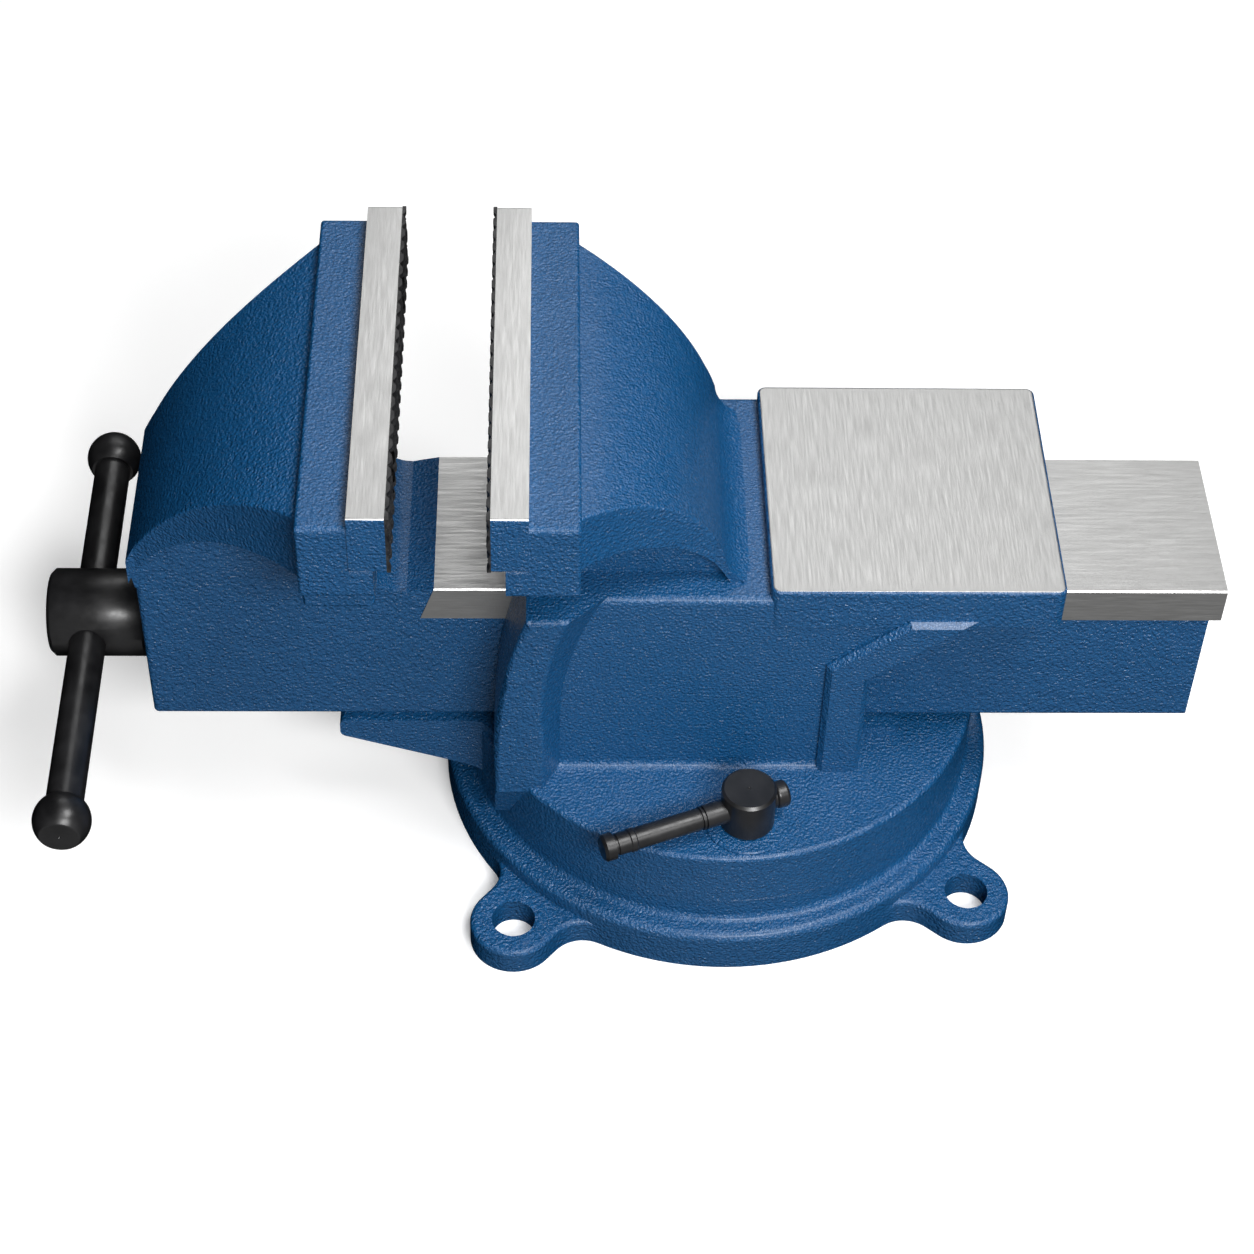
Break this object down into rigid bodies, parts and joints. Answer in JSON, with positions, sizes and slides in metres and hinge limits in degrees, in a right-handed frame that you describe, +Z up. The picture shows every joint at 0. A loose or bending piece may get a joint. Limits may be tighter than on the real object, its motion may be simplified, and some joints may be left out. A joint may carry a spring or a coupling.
{
  "type": "bench vise",
  "caption": "Swivel bench vise with a square beam, serrated jaw plates, flat anvil, sliding handle bar and two swivel locks.",
  "frame": {"origin": "on the swivel axis, in the plane of the bench top that the base stands on", "axes": "+X from the handle end to the anvil end along the beam, +Y across the jaws away from the near side, +Z up"},
  "size_m": [0.3979, 0.2, 0.1936],
  "materials": {
    "blue_paint": "glossy hammered enamel on cast iron",
    "machined_steel": "ground, lengthwise grain",
    "jaw_steel": "ground top, hardened, serrated gripping face",
    "black_oxide": "black oxide, satin",
    "nut_iron": "as cast",
    "zinc_steel": "plain steel"
  },
  "bodies": {
    "base": {"swivel_base": "blue_paint"},
    "swivel_body": {"fixed_body": "blue_paint", "fixed_jaw_plate": "jaw_steel", "fixed_jaw_screws": "black_oxide", "main_nut": "nut_iron", "nut_bolts": "black_oxide", "lock_washer_near": "blue_paint", "lock_washer_far": "blue_paint", "t_nut_near": "zinc_steel", "t_nut_far": "zinc_steel"},
    "moving_jaw": {"moving_jaw": "blue_paint", "slide_plate": "machined_steel", "slide_plate_screws": "black_oxide", "moving_jaw_plate": "jaw_steel", "moving_jaw_screws": "black_oxide", "thrust_washer": "zinc_steel", "spring_washer": "zinc_steel", "take_up_spring": "zinc_steel"},
    "main_screw": {"main_screw": "black_oxide", "retaining_collar": "zinc_steel", "retaining_pin": "zinc_steel"},
    "tommy_bar": {"tommy_bar": "black_oxide", "tommy_ball_near": "black_oxide", "tommy_ball_far": "black_oxide"},
    "lock_near": {"lock_screw_near": "black_oxide"},
    "lock_far": {"lock_screw_far": "black_oxide"},
    "lever_near": {"lock_lever_near": "black_oxide", "lock_knob_near": "black_oxide"},
    "lever_far": {"lock_lever_far": "black_oxide", "lock_knob_far": "black_oxide"}
  },
  "joints": [
    {"name": "swivel", "type": "hinge", "parent": "base", "child": "swivel_body", "pos_m": [0, 0, 0.028], "axis": [0, 0, 1], "continuous": true},
    {"name": "jaw_slide", "type": "slide", "parent": "swivel_body", "child": "moving_jaw", "axis": [-1, 0, 0], "range_m": [-0.029, 0.121]},
    {"name": "screw_turn", "type": "hinge", "parent": "moving_jaw", "child": "main_screw", "pos_m": [-0.1994, 0, 0.074], "axis": [-1, 0, 0], "range_deg": [-1740.2, 7260.2]},
    {"name": "bar_slide", "type": "slide", "parent": "main_screw", "child": "tommy_bar", "axis": [0, 0.9994, 0.0337], "range_m": [-0.052, 0.068]},
    {"name": "lock_near_turn", "type": "hinge", "parent": "swivel_body", "child": "lock_near", "pos_m": [0.00598, -0.07426, 0.05], "axis": [0, 0, 1], "range_deg": [-30, 180]},
    {"name": "lock_far_turn", "type": "hinge", "parent": "swivel_body", "child": "lock_far", "pos_m": [0.00598, 0.07426, 0.05], "axis": [0, 0, -1], "range_deg": [-30, 180]},
    {"name": "lever_near_slide", "type": "slide", "parent": "lock_near", "child": "lever_near", "axis": [0.9304, 0.3665, 0], "range_m": [0, 0.038]},
    {"name": "lever_far_slide", "type": "slide", "parent": "lock_far", "child": "lever_far", "axis": [0.9304, -0.3665, 0], "range_m": [0, 0.038]}
  ],
  "couplings": [
    {"joint": "screw_turn", "follows": "jaw_slide", "rad_per_m": 1047.2}
  ]
}
